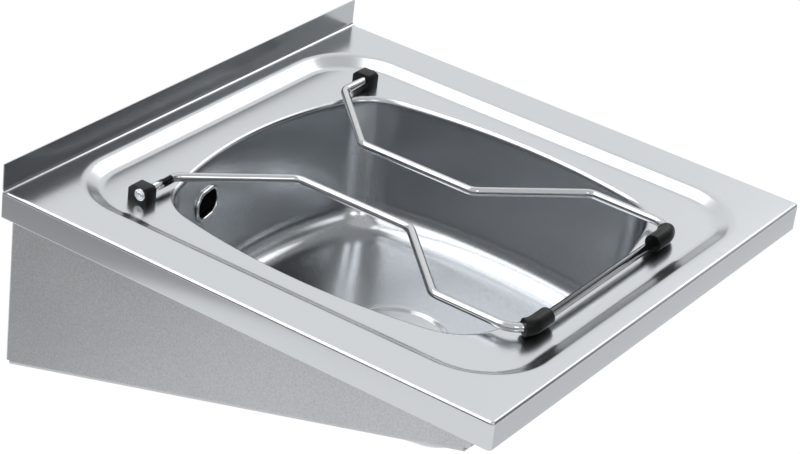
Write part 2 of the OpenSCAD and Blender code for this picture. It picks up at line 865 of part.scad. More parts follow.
module strainer_screw() {
    color("#b9bcbe")
        on_drain(strainer_z - cup_depth + strainer_t) {
            difference() {
                cylinder(h = strainer_head_h, d = strainer_head_d);
                translate([-strainer_head_d, -strainer_head_h / 4, strainer_head_h / 2])
                    cube([2 * strainer_head_d, strainer_head_h / 2, strainer_head_h]);
            }
            translate([0, 0, -strainer_t - strainer_screw_l])
                cylinder(h = strainer_t + strainer_screw_l, d = strainer_screw_d);
        }
}
module strainer_seal() {
    color("#232425")
        on_drain(seat_z)
            washer(strainer_d - 2 * rest_gap, strainer_seal_t, drain_d);
}
module waste_gasket() {
    color("#232425")
        on_drain(waste_top)
            washer(waste_flange_d - 2 * rest_gap, gasket_t, drain_d);
}
module waste_body() {
    boss_top = strainer_z - cup_depth;
    spigot_angle = atan2(pipe_y - bowl_y, pipe_x);
    color("#e4e4e0")
        on_drain(0)
            difference() {
                union() {
                    rotate_extrude()
                        difference() {
                            polygon([[0, waste_foot], [outlet_d / 2, waste_foot],
                                [outlet_d / 2, waste_foot + outlet_l], [chamber_r, waste_foot + outlet_l],
                                [chamber_r, waste_top - waste_flange_t],
                                [waste_flange_d / 2, waste_top - waste_flange_t],
                                [waste_flange_d / 2, waste_top], [0, waste_top]]);
                            polygon([[0, waste_foot - cut], [outlet_bore_r, waste_foot - cut],
                                [outlet_bore_r, waste_foot + outlet_l + plastic_t],
                                [throat_r, waste_foot + outlet_l + plastic_t + (throat_r - outlet_bore_r) / 3],
                                [throat_r, waste_top + cut], [0, waste_top + cut]]);
                        }
                    translate([0, 0, boss_top - boss_h])
                        cylinder(h = boss_h, d = boss_d);
                    for (i = [1:3])
                        rotate([0, 0, spigot_angle + 60 + 120 * i])
                            translate([boss_d / 4, -plastic_t / 2, boss_top - boss_h + cut])
                                cube([throat_r + plastic_t / 2 - boss_d / 4, plastic_t, boss_h * 3 / 4]);
                    translate([0, 0, pipe_z])
                        rotate([0, 90, spigot_angle])
                            translate([0, 0, throat_r + plastic_t / 2])
                                cylinder(h = spigot_l + plastic_t / 2, d = spigot_d);
                }
                translate([0, 0, boss_top - boss_h - cut])
                    cylinder(h = boss_h + 2 * cut, d = strainer_screw_d + 2 * fit_gap);
                translate([0, 0, pipe_z])
                    rotate([0, 90, spigot_angle])
                        translate([0, 0, throat_r - plastic_t])
                            cylinder(h = spigot_l + 3 * plastic_t, d = spigot_d - 2 * plastic_t);
            }
}

// Overflow: places its children with the bowl's inner face at y = 0 and +Y towards the wall
overflow_r = bowl_end_r - wall_in(overflow_drop - recess_depth);
overflow_turn = asin(overflow_x / overflow_r);
overflow_y = bowl_y + end_c[1] + overflow_r * cos(overflow_turn);
head_y = sheet_t + seal_t;
overflow_stud_x = (overflow_w / 2 + plastic_t + head_w / 2) / 2;
stud_start = sqrt(pow(overflow_r + sheet_t, 2) - pow(overflow_stud_x, 2)) - overflow_r + fit_gap / 2;
module at_overflow(lean) {
    translate([-overflow_x, overflow_y, deck_top - overflow_drop])
        rotate([0, 0, overflow_turn])
            rotate([-lean, 0, 0])
                children();
}
// Round wall of the bowl as the overflow's parts meet it, out to a radius
module bowl_wall(r) {
    translate([0, -overflow_r, -head_h])
        cylinder(h = 2 * head_h, r = r, $fn = 200);
}
module both_studs() {
    for (side = [-1, 1])
        translate([side * overflow_stud_x, 0, 0])
            children();
}
module overflow_bezel() {
    straight = overflow_w - overflow_h;
    bend_r = (overflow_h + bead_d) / 2;
    color("#c6c8ca")
        at_overflow(bowl_draft) {
            intersection() {
                translate([0, -bead_d / 4, 0])
                    for (side = [-1, 1]) {
                        translate([-straight / 2, 0, side * bend_r])
                            rotate([0, 90, 0])
                                cylinder(h = straight, d = bead_d);
                        translate([side * straight / 2, 0, 0])
                            rotate([90, 0, 90 - 90 * side])
                                bead_bend(bend_r);
                    }
                bowl_wall(overflow_r - facet_gap);
            }
            translate([0, -bead_d / 4, 0])
                along_y(head_y + bead_d / 4)
                    difference() {
                        obround(overflow_w + 2 * bezel_t, overflow_h + 2 * bezel_t);
                        obround(overflow_w, overflow_h);
                    }
        }
}
module bead_bend(r) {
    rotate([0, 0, -90])
        rotate_extrude(angle = 180)
            translate([r, 0])
                circle(d = bead_d);
}
module overflow_seal() {
    color("#232425")
        at_overflow(bowl_draft)
            difference() {
                translate([0, -seal_t, 0])
                    along_y(seal_t + head_y)
                        difference() {
                            rounded_plate(head_w, head_h, head_corner_r);
                            obround(overflow_w + 2 * (bezel_t + fit_gap), overflow_h + 2 * (bezel_t + fit_gap));
                            both_studs()
                                circle(d = small_stud_d + 2 * fit_gap);
                        }
                bowl_wall(overflow_r + sheet_t + fit_gap / 2);
            }
}
module overflow_head() {
    color("#e4e4e0")
        difference() {
            union() {
                at_overflow(bowl_draft)
                    translate([0, head_y, 0]) {
                        along_y(plastic_t)
                            difference() {
                                rounded_plate(head_w, head_h, head_corner_r);
                                both_studs()
                                    circle(d = small_stud_d + 2 * fit_gap);
                            }
                        along_y(head_depth)
                            obround(overflow_w + 2 * plastic_t, overflow_h + 2 * plastic_t);
                    }
                translate([pipe_x, pipe_y, pipe_top - spigot_l])
                    cylinder(h = spigot_l + overflow_h / 2, d = spigot_d);
            }
            at_overflow(bowl_draft)
                translate([0, head_y - cut, 0])
                    along_y(head_depth - plastic_t + cut)
                        obround(overflow_w, overflow_h);
            translate([pipe_x, pipe_y, pipe_top - spigot_l - cut])
                cylinder(h = spigot_l + cut + overflow_h / 2, d = spigot_d - 2 * plastic_t);
        }
}
module overflow_studs() {
    color("#b9bcbe")
        at_overflow(bowl_draft)
            both_studs()
                translate([0, stud_start, 0])
                    along_y(head_y + plastic_t + small_nut_t * 2 - stud_start)
                        circle(d = small_stud_d);
}
module overflow_nuts() {
    color("#a9acae")
        at_overflow(bowl_draft)
            both_studs()
                translate([0, head_y + plastic_t, 0])
                    rotate([-90, 0, 0])
                        hex_nut(small_nut_w, small_nut_t, small_stud_d);
}

// Pipe between the overflow head and the waste
pipe_in = head_y + head_depth - spigot_d / 2;
pipe_x = -overflow_x - pipe_in * sin(overflow_turn);
pipe_y = overflow_y + pipe_in * cos(overflow_turn);
pipe_top = deck_top - overflow_drop - overflow_h / 2 - plastic_t
    - (head_y + head_depth) * tan(bowl_draft) - rest_gap;
pipe_z = waste_top - waste_flange_t - pipe_nut_d / 2 - pipe_room;
pipe_run = norm([pipe_x, pipe_y - bowl_y]) - chamber_r - rest_gap;
pipe_radii = [0, pipe_bend_r, 0];
function pipe_path(more) = [[0, pipe_top + more], [0, pipe_z], [pipe_run + more, pipe_z]];
module along_pipe() {
    translate([pipe_x, pipe_y, 0])
        rotate([0, 0, atan2(bowl_y - pipe_y, -pipe_x)])
            children();
}
module overflow_pipe() {
    color("#e4e4e0")
        along_pipe()
            rotate([90, 0, 0])
                difference() {
                    bent_bar(pipe_path(0), pipe_radii, pipe_d);
                    bent_bar(pipe_path(cut), pipe_radii, spigot_d + 2 * fit_gap);
                }
}
module pipe_nut() {
    difference() {
        cylinder(h = pipe_nut_l, d = pipe_nut_d, $fn = 8);
        translate([0, 0, -cut])
            cylinder(h = pipe_nut_l + 2 * cut, d = pipe_d);
    }
}
module pipe_nuts() {
    color("#d8d8d3")
        along_pipe() {
            translate([0, 0, pipe_top - pipe_nut_l])
                pipe_nut();
            translate([pipe_run - pipe_nut_l, 0, pipe_z])
                rotate([0, 90, 0])
                    pipe_nut();
        }
}

// Pad stuck below the bowl's floor
function pad_rings(t) =
    [for (s = pad_shares) place(floor_line(s), bowl_y, floor_edge - s * bowl_fall - sheet_t - t)];
module drum_pad() {
    color("#4a4a48")
        skin_loop(concat(pad_rings(fit_gap), turned(pad_rings(fit_gap + pad_t))));
}

deck();
bowl();
left_bracket();
right_bracket();
weld_studs();
stud_washers();
stud_nuts();
pivot_block_left();
pivot_block_right();
pivot_screws();
pivot_washers();
grid_bar();
sleeve_left();
sleeve_right();
bar_rings();
strainer();
strainer_screw();
strainer_seal();
waste_body();
waste_gasket();
overflow_bezel();
overflow_seal();
overflow_head();
overflow_studs();
overflow_nuts();
overflow_pipe();
pipe_nuts();
drum_pad();
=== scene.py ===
"""Looks of the slop sink: pressed and drawn sheet, bent bar, rubber and the studio round them.

Shapes are drawn in millimetres, in the frame of the CAD model, and scaled to metres as the last step.
X runs along the wall, the wall is at y = 0 and the user stands at -Y.
"""

from math import atan2, cos, degrees, pi, radians, sin, sqrt, tan

import bmesh
import bpy
from mathutils import Matrix, Vector


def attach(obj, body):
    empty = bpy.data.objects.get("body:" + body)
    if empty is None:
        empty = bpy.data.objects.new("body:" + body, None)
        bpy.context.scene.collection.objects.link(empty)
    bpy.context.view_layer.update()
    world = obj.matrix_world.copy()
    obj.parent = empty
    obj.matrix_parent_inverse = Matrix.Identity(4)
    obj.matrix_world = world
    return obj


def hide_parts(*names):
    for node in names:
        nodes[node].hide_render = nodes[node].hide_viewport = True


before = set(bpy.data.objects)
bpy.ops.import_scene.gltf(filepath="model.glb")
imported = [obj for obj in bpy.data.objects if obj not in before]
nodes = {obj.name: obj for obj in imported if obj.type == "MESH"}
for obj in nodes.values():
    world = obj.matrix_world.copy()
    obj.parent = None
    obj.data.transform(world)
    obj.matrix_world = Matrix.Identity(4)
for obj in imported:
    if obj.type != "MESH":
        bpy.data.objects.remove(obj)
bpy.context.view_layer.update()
MM = 0.001
# Places that are this near to each other count as one, and doubled corners are merged within the second
TOUCH, MERGE = 0.01, 0.001

# Deck
DECK_W, DECK_D, DECK_TOP = 500, 500, 100
SHEET = 1.2
APRON, LIP, EDGE_R, CORNER_R, LIP_FOLD = 26, 9, 2.8, 4, 1.6
SPLASH, SPLASH_FOLD = 26, 3
# Recess pressed into the deck
RECESS_W, RECESS_L, RECESS_GAP, RECESS_R = 424, 471, 14, 71
RECESS_DEPTH, RECESS_SLOPE, RECESS_FOLD = 8, radians(29), 14
# Bowl
BOWL_W, BOWL_L, BOWL_GAP, BOWL_DEPTH = 352, 375, 64, 140
SIDE_R, END_R, BOWL_CORNER = 582, 393, 57
RIM_R, DRAFT, FOOT_R, FALL, SEAM = 5, radians(4), 28, 3, 8
SEAT_R, SEAT_DEPTH, SEAT_SLOPE, SEAT_FOLD = 44, 3, radians(45), 1.6
FLAT_R, DRAIN_R = 56, 29
# Overflow slot
SLOT_X, SLOT_DROP, SLOT_W, SLOT_H = 67, 50, 36.6, 24.6
# Grid and its hinge
BAR_R, HINGE_Y, REACH = 4, -84, 359
ARM_IN, ARM_OUT, WAIST, ARM_BEND, CORNER_BEND = 47.5, 124, 119.5, 14, 22
BAR_END_ROUND, DIMPLE_R, DIMPLE_TIP, DIMPLE_DEPTH = 0.5, 1.25, 0.1, 1.2
SLEEVE_R, SLEEVE_L, SLEEVE_TURN, SLEEVE_ROUND = 8, 17, radians(35), 1.3
BLOCK_W, BLOCK_L, BLOCK_H, BLOCK_OUT, BLOCK_NOSE = 14, 20.5, 14, 170, 6.5
BLOCK_CHAMFER, NOSE_CHAMFER, BLOCK_ROUND, BORE_PLAY = 4, 3, 0.8, 0.05
RING_R, RING_T, RING_ROUND, REST = 5.5, 1.2, 0.6, 0.3
# Facets of a full turn of the bar and of what is round with it, and steps of a fold
ROUND_SIDES, FOLD_STEPS = 40, 8

FLOOR_Z = DECK_TOP - RECESS_DEPTH
HINGE_Z = FLOOR_Z + SLEEVE_R + REST
BAR_END = BLOCK_OUT + REST + RING_T
RECESS_Y = -RECESS_GAP - RECESS_L / 2
BOWL_Y = -BOWL_GAP - BOWL_L / 2


# Shaping
def near(value, target):
    return abs(value - target) < TOUCH


def edges_where(bm, test):
    """Edges whose two ends both pass a test of their place."""
    return [e for e in bm.edges if all(test(v.co) for v in e.verts)]


def open_edges(edges):
    return [e for e in edges if len(e.link_faces) < 2]


def sharp(edge):
    """True where two faces meet at more than 60 degrees."""
    return edge.calc_face_angle(0) > radians(60)


def verts_of(geom):
    return [v for v in geom if isinstance(v, bmesh.types.BMVert)]


def edges_of(geom):
    return [e for e in geom if isinstance(e, bmesh.types.BMEdge)]


def faces_of(geom):
    return [f for f in geom if isinstance(f, bmesh.types.BMFace)]


def bevel(bm, edges, size, segments):
    bmesh.ops.bevel(bm, geom=edges, offset=size, offset_type="OFFSET", segments=segments,
                    profile=0.5, affect="EDGES", material=-1, clamp_overlap=True)


def rounded_face(bm, width, length, radius, segments):
    """Flat face with round corners, centred on the origin."""
    bmesh.ops.create_grid(bm, x_segments=1, y_segments=1, size=0.5)
    bmesh.ops.scale(bm, vec=(width, length, 1), verts=bm.verts)
    bmesh.ops.bevel(bm, geom=bm.verts[:], offset=radius, offset_type="OFFSET", segments=segments,
                    profile=0.5, affect="VERTICES", material=-1)
    return bm.faces[:][0]


def joggle(depth, slope, fold, steps):
    """Section of a pressed step with a round bend at its top and foot, as places (in, down)."""
    drop = depth - 2 * fold * (1 - cos(slope))
    width = 2 * fold * sin(slope) + drop / tan(slope)
    turns = [slope * i / steps for i in range(steps + 1)]
    top = [(fold * sin(a), fold * (1 - cos(a))) for a in turns]
    return top + [(width - t, depth - z) for t, z in reversed(top)]


def press(bm, face, section):
    """Draws a flat face inwards and down along a section of places (in, down)."""
    for (t0, z0), (t1, z1) in zip(section, section[1:]):
        bmesh.ops.inset_region(bm, faces=[face], thickness=t1 - t0, depth=z0 - z1,
                               use_boundary=True, use_even_offset=True)


def bow(bm, start):
    """Bowed outline of the bowl, drawn in by start: a quarter turned round three centres, then mirrored."""
    side = Vector((BOWL_W / 2 - SIDE_R, 0, 0))
    end = Vector((0, BOWL_L / 2 - END_R, 0))
    # The corner's centre lies where circles round the two others meet
    to_side, to_end = SIDE_R - BOWL_CORNER, END_R - BOWL_CORNER
    span = (end - side).length
    along = (to_side * to_side - to_end * to_end + span * span) / (2 * span)
    line = (end - side) / span
    corner = side + line * along + Vector((-line.y, line.x, 0)) * sqrt(to_side * to_side - along * along)
    first = atan2(corner.y - side.y, corner.x - side.x)
    second = atan2(corner.y - end.y, corner.x - end.x)
    last = bm.verts.new((BOWL_W / 2 - start, 0, 0))
    arcs = ((side, first, 14), (corner, second - first, 16), (end, pi / 2 - second, 24))
    for centre, turn, steps in arcs:
        made = bmesh.ops.spin(bm, geom=[last], cent=centre, axis=(0, 0, 1), angle=turn, steps=steps)
        last = verts_of(made["geom_last"])[0]
    for across in ("X", "Y"):
        drawn = bm.verts[:] + bm.edges[:]
        bmesh.ops.mirror(bm, geom=drawn, matrix=Matrix(), merge_dist=MERGE, axis=across)
    bmesh.ops.remove_doubles(bm, verts=bm.verts, dist=TOUCH)
    face = bmesh.ops.contextual_create(bm, geom=bm.edges[:])["faces"][0]
    face.normal_update()
    if face.normal.z < 0:
        face.normal_flip()
    return face


def place_on_bowl(bm, z):
    bmesh.ops.translate(bm, vec=(0, BOWL_Y, z), verts=bm.verts)


def join(bm, other):
    """Adds a second shape to the first."""
    mesh = bpy.data.meshes.new("joined")
    other.to_mesh(mesh)
    other.free()
    bm.from_mesh(mesh)
    bpy.data.meshes.remove(mesh)


def cut(bm, cutter):
    """Cuts a closed shape out of another."""
    objects = []
    for shape in (bm, cutter):
        mesh = bpy.data.meshes.new("cut")
        shape.to_mesh(mesh)
        shape.free()
        obj = bpy.data.objects.new("cut", mesh)
        bpy.context.scene.collection.objects.link(obj)
        objects.append(obj)
    modifier = objects[0].modifiers.new("cut", "BOOLEAN")
    modifier.object = objects[1]
    modifier.solver = "EXACT"
    whole = objects[0].evaluated_get(bpy.context.evaluated_depsgraph_get())
    result = bmesh.new()
    result.from_mesh(whole.to_mesh())
    whole.to_mesh_clear()
    for obj in objects:
        mesh = obj.data
        bpy.data.objects.remove(obj)
        bpy.data.meshes.remove(mesh)
    return result


def facing(place, heading):
    """Matrix that carries the origin to place and turns Z to heading."""
    return Matrix.Translation(place) @ heading.to_track_quat("Z", "Y").to_matrix().to_4x4()


def round_section(bm, place, heading, radius, bore=0):
    """Round face looking along heading, or a ring of faces where there is a bore."""
    circle = {"segments": ROUND_SIDES, "matrix": facing(place, heading)}
    outer = bmesh.ops.create_circle(bm, cap_ends=not bore, radius=radius, **circle)["verts"]
    if not bore:
        return list(outer[0].link_faces)
    inner = bmesh.ops.create_circle(bm, cap_ends=False, radius=bore, **circle)["verts"]
    edges = list({e for v in outer + inner for e in v.link_edges})
    return bmesh.ops.bridge_loops(bm, edges=edges)["faces"]


def run(bm, faces, step):
    """Pushes a section along a straight run."""
    made = bmesh.ops.extrude_face_region(bm, geom=faces)["geom"]
    bmesh.ops.translate(bm, vec=step, verts=verts_of(made))
    return faces_of(made)


def bend(bm, faces, place, heading, turn, radius):
    """Turns a section round a bend to the left or, with a negative turn, to the right."""
    degrees_a_step = 3
    side = 1 if turn > 0 else -1
    centre = place + Vector((-heading.y, heading.x, 0)) * side * radius
    steps = max(2, round(abs(degrees(turn)) / degrees_a_step))
    made = bmesh.ops.spin(bm, geom=faces, cent=centre, axis=(0, 0, 1), angle=turn, steps=steps)["geom_last"]
    spun = Matrix.Rotation(turn, 3, "Z")
    return faces_of(made), centre + spun @ (place - centre), spun @ heading


def close_up(bm):
    """Merges doubled corners and turns the faces outwards."""
    bmesh.ops.remove_doubles(bm, verts=bm.verts, dist=MERGE)
    bmesh.ops.recalc_face_normals(bm, faces=bm.faces)


def piece(name, bm, skin, stands_for, body="sink", crease=35):
    """Makes a finished shape a piece of the model, in place of CAD nodes. Edges bent less than crease, in
    degrees, are shaded smooth."""
    bm.normal_update()
    for face in bm.faces:
        face.smooth = True
    for edge in bm.edges:
        edge.smooth = len(edge.link_faces) != 2 or edge.calc_face_angle(0) < radians(crease)
    bmesh.ops.scale(bm, vec=(MM,) * 3, verts=bm.verts)
    mesh = bpy.data.meshes.new(name)
    bm.to_mesh(mesh)
    bm.free()
    mesh.materials.append(skin)
    obj = bpy.data.objects.new(name, mesh)
    bpy.context.scene.collection.objects.link(obj)
    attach(obj, body)
    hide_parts(*stands_for)
    return obj


# Finishes
def linear(code):
    """Linear colour of an sRGB hex code."""
    parts = [int(code[i:i + 2], 16) / 255 for i in (1, 3, 5)]
    return tuple(c / 12.92 if c <= 0.04045 else ((c + 0.055) / 1.055) ** 2.4 for c in parts) + (1,)


def add(tree, kind, inputs=None, **settings):
    """Adds a node, sets it up, and links or fills its inputs."""
    node = tree.nodes.new("ShaderNode" + kind)
    for key, value in settings.items():
        setattr(node, key, value)
    for key, value in (inputs or {}).items():
        if isinstance(value, bpy.types.NodeSocket):
            tree.links.new(value, node.inputs[key])
        else:
            node.inputs[key].default_value = value
    return node


def finish(name, light, dark, rough, size, depth, drawn=(1, 1, 1), values=()):
    """Principled material whose skin has a grain: size is the grain's width in millimetres, depth its height,
    and drawn stretches it along an axis. Its tone runs from dark to light with the grain, and its roughness
    between the two of rough with the grain and with a cloud of patches about 110 mm wide."""
    material = bpy.data.materials.new(name)
    material.use_nodes = True
    tree = material.node_tree
    shader = tree.nodes["Principled BSDF"]
    for key, value in values:
        shader.inputs[key].default_value = value
    place = add(tree, "TexCoord").outputs["Object"]
    stretched = add(tree, "Mapping", {"Vector": place, "Scale": drawn}).outputs["Vector"]
    grain = add(tree, "TexNoise", {"Vector": stretched, "Scale": 1 / (size * MM), "Detail": 3.0,
                                   "Roughness": 0.6}).outputs["Fac"]
    cloud = add(tree, "TexNoise", {"Vector": place, "Scale": 9.0, "Detail": 2.0}).outputs["Fac"]
    tone = add(tree, "MixRGB", {"Fac": grain, "Color1": linear(dark), "Color2": linear(light)})
    both = add(tree, "Math", {0: grain, 1: cloud}, operation="ADD")
    # The sum of the two patterns mostly stays between these bounds
    gloss = add(tree, "MapRange", {"Value": both.outputs[0], "From Min": 0.6, "From Max": 1.4,
                                   "To Min": rough[0], "To Max": rough[1]})
    tree.links.new(tone.outputs["Color"], shader.inputs["Base Color"])
    tree.links.new(gloss.outputs["Result"], shader.inputs["Roughness"])
    if depth:
        bump = add(tree, "Bump", {"Height": grain, "Strength": 1.0, "Distance": depth * MM})
        tree.links.new(bump.outputs["Normal"], shader.inputs["Normal"])
    return material


METAL = (("Metallic", 1.0),)
DULL = (("Specular IOR Level", 0.25),)
# Cold-rolled stainless, satin ground: soft but clear reflections, a pale even sheen with hardly any grain.
# The real grinding lines are 0.05 mm wide. Here they are 0.9 mm wide and long along X, the finest that shows
satin_sheet = finish("satin_rolled_stainless", "#d3d6d9", "#cacdd1",
                     (0.17, 0.24), 0.9, 0.0008, (0.1, 1, 1), METAL)
# The same steel drawn into the bowl, with painted shade: its colour is darker than the deck's to stand in for
# the shade inside the bowl. It has a fine speckle, and the sharp streaks in the corners are reflections.
# The real orange peel is 0.1 mm wide and is drawn at 1.1 mm
satin_bowl = finish("satin_drawn_stainless_painted_darker", "#d8dbde", "#9c9fa2",
                    (0.16, 0.22), 1.1, 0.00003, (1, 1, 0.6), METAL)
# Folded stainless left as pickled in the mill: matt grey, so light spreads over it and it looks sandy.
# The real grain is 0.1 mm and is drawn at 1.8 mm
pickled = finish("pickled_folded_stainless", "#dcdee1", "#9fa1a4",
                 (0.3, 0.42), 1.8, 0.005, values=METAL)
# Drawn bar, polished: mirror bands along it, bright between dark ones. Its skin is too smooth for a relief,
# so only tone and gloss change, over the 2.5 mm of a polishing mark
polished_bar = finish("polished_drawn_stainless_bar", "#d6d8da", "#c8cacc",
                      (0.07, 0.11), 2.5, 0, values=METAL)
# Pressed and polished trim: small crisp highlights. The real haze is 0.1 mm and is drawn at 1.5 mm
bright_trim = finish("bright_pressed_stainless", "#dcdee0", "#d0d2d4",
                     (0.14, 0.22), 1.5, 0.001, values=METAL)
# Pressed strainer, brushed once: a little duller than the trim, its 0.1 mm scratches drawn at 1 mm
brushed_strainer = finish("satin_pressed_stainless", "#d2d4d6", "#c3c5c7",
                          (0.22, 0.3), 1.0, 0.002, values=METAL)
# Turned fasteners, plain: a soft grey shine, uneven from the tool; the 0.1 mm tool marks are drawn at 0.8 mm
turned_steel = finish("plain_turned_stainless", "#c3c6c9", "#a9acaf",
                      (0.25, 0.36), 0.8, 0.004, values=METAL)
# Moulded nylon: black with a faint sheen on its edges. The mould's 0.1 mm spark marks are drawn at 0.8 mm
black_nylon = finish("black_moulded_nylon", "#121314", "#0a0b0b",
                     (0.25, 0.38), 0.8, 0.004, values=DULL)
# Extruded rubber: black, its highlight wide and weak, with 0.2 mm pimples drawn at 0.9 mm
black_rubber = finish("black_extruded_rubber", "#101111", "#090a0a",
                      (0.3, 0.42), 0.9, 0.004, values=DULL)
# Cut rubber sheet: flat dark grey without a highlight, its 0.3 mm cloth mark drawn at 0.7 mm
seal_rubber = finish("black_cut_rubber", "#232425", "#18191a", (0.55, 0.7), 0.7, 0.01)
# Moulded polypropylene in black, which keeps the overflow dark behind its bright rim. The mould's 0.2 mm
# grain is drawn at 1.2 mm
black_plastic = finish("black_moulded_polypropylene", "#1d1e1f", "#131414", (0.35, 0.45), 1.2, 0.01)
# The same plastic in white: milky, with a waxy sheen
white_plastic = finish("white_moulded_polypropylene", "#e4e4e0", "#d8d8d3", (0.34, 0.45), 1.2, 0.01)
# Bitumen felt stuck on: dull near-black with a coarse 2 mm grain
bitumen = finish("black_bitumen_felt", "#4a4a48", "#333331", (0.7, 0.85), 2.0, 0.12)


# Deck: a folded pan with its top pressed down round the bowl and its rear edge turned up
def deck_sheet():
    bm = bmesh.new()
    # A box that reaches past the wall, so that its rear end is cut off without a fold
    past_wall = 100
    bmesh.ops.create_cube(bm, size=1)
    bmesh.ops.scale(bm, vec=(DECK_W, DECK_D + past_wall, APRON), verts=bm.verts)
    bmesh.ops.translate(bm, vec=(0, (past_wall - DECK_D) / 2, DECK_TOP - APRON / 2), verts=bm.verts)
    foot = min(bm.faces, key=lambda f: f.calc_center_median().z)
    bmesh.ops.inset_region(bm, faces=[foot], thickness=LIP, use_boundary=True, use_even_offset=True)
    bmesh.ops.delete(bm, geom=[foot], context="FACES_ONLY")
    front = edges_where(bm, lambda p: near(p.y, -DECK_D))
    bevel(bm, [e for e in front if near(e.verts[0].co.x, e.verts[1].co.x)], CORNER_R, FOLD_STEPS)
    bevel(bm, edges_where(bm, lambda p: near(p.z, DECK_TOP)), EDGE_R, FOLD_STEPS)
    low = edges_where(bm, lambda p: near(p.z, DECK_TOP - APRON))
    bevel(bm, [e for e in low if any(abs(f.normal.z) < 0.5 for f in e.link_faces)], LIP_FOLD, segments=5)
    # The flat ends where the upstand's fold starts
    rear = -SPLASH_FOLD - SHEET
    for y, clear in ((0, True), (rear, False)):
        bmesh.ops.bisect_plane(bm, geom=bm.verts[:] + bm.edges[:] + bm.faces[:], plane_co=(0, y, 0),
                               plane_no=(0, 1, 0), clear_outer=clear)
    middles = [(f, f.calc_center_median()) for f in bm.faces]
    loose = [f for f, middle in middles if middle.y > rear and middle.z > DECK_TOP - SHEET]
    bmesh.ops.delete(bm, geom=loose, context="FACES")
    # Of the flat, only a border stays, to be filled again round the recess
    border = 1
    top = max(bm.faces, key=lambda f: f.calc_area() * (f.normal.z > 0.99))
    bmesh.ops.inset_region(bm, faces=[top], thickness=border, use_boundary=True, use_even_offset=True)
    bmesh.ops.delete(bm, geom=[top], context="FACES_ONLY")

    # Upstand: the rear edge turned up round its fold
    fold = edges_where(bm, lambda p: near(p.y, rear) and near(p.z, DECK_TOP))
    made = bmesh.ops.spin(bm, geom=fold, cent=(0, rear, DECK_TOP + SPLASH_FOLD), axis=(1, 0, 0),
                          angle=pi / 2, steps=FOLD_STEPS)["geom_last"]
    made = bmesh.ops.extrude_edge_only(bm, edges=edges_of(made))["geom"]
    bmesh.ops.translate(bm, vec=(0, 0, SPLASH - SPLASH_FOLD), verts=verts_of(made))
    reach = DECK_W / 2 - EDGE_R
    for side in (-1, 1):
        turned_up = edges_where(bm, lambda p: p.y > rear - TOUCH and p.z > DECK_TOP - TOUCH)
        ends = [e for e in open_edges(turned_up) if all(near(v.co.x, side * reach) for v in e.verts)]
        made = bmesh.ops.extrude_edge_only(bm, edges=ends)["geom"]
        bmesh.ops.translate(bm, vec=(side * EDGE_R, 0, 0), verts=verts_of(made))

    # Recess: round-cornered outline, then its step pressed down to the floor, with a flat strip on both sides
    pressed = bmesh.new()
    lap, strip = 2, 1
    face = rounded_face(pressed, RECESS_W + 2 * lap, RECESS_L + 2 * lap, RECESS_R + lap, segments=28)
    bmesh.ops.translate(pressed, vec=(0, RECESS_Y, DECK_TOP), verts=pressed.verts)
    step = joggle(RECESS_DEPTH, RECESS_SLOPE, RECESS_FOLD, steps=10)
    press(pressed, face, [(-lap, 0)] + step + [(step[-1][0] + strip, RECESS_DEPTH)])
    bmesh.ops.delete(pressed, geom=[face], context="FACES_ONLY")
    join(bm, pressed)
    hole = bmesh.new()
    bmesh.ops.delete(hole, geom=[bow(hole, -SEAM)], context="FACES_ONLY")
    place_on_bowl(hole, FLOOR_Z)
    join(bm, hole)

    # Flat of the deck and flat of the recess's floor
    flat = open_edges(edges_where(bm, lambda p: near(p.z, DECK_TOP) and p.y < rear - border / 2))
    floor = open_edges(edges_where(bm, lambda p: near(p.z, FLOOR_Z)))
    bmesh.ops.triangle_fill(bm, use_beauty=True, use_dissolve=False, edges=flat, normal=(0, 0, 1))
    bmesh.ops.bridge_loops(bm, edges=floor)
    close_up(bm)
    # The skin that is seen faces up, and the sheet's thickness goes down from it
    if max(bm.faces, key=lambda f: f.calc_area()).normal.z < 0:
        bmesh.ops.reverse_faces(bm, faces=bm.faces)
    bmesh.ops.solidify(bm, geom=bm.faces[:], thickness=SHEET)
    return bm


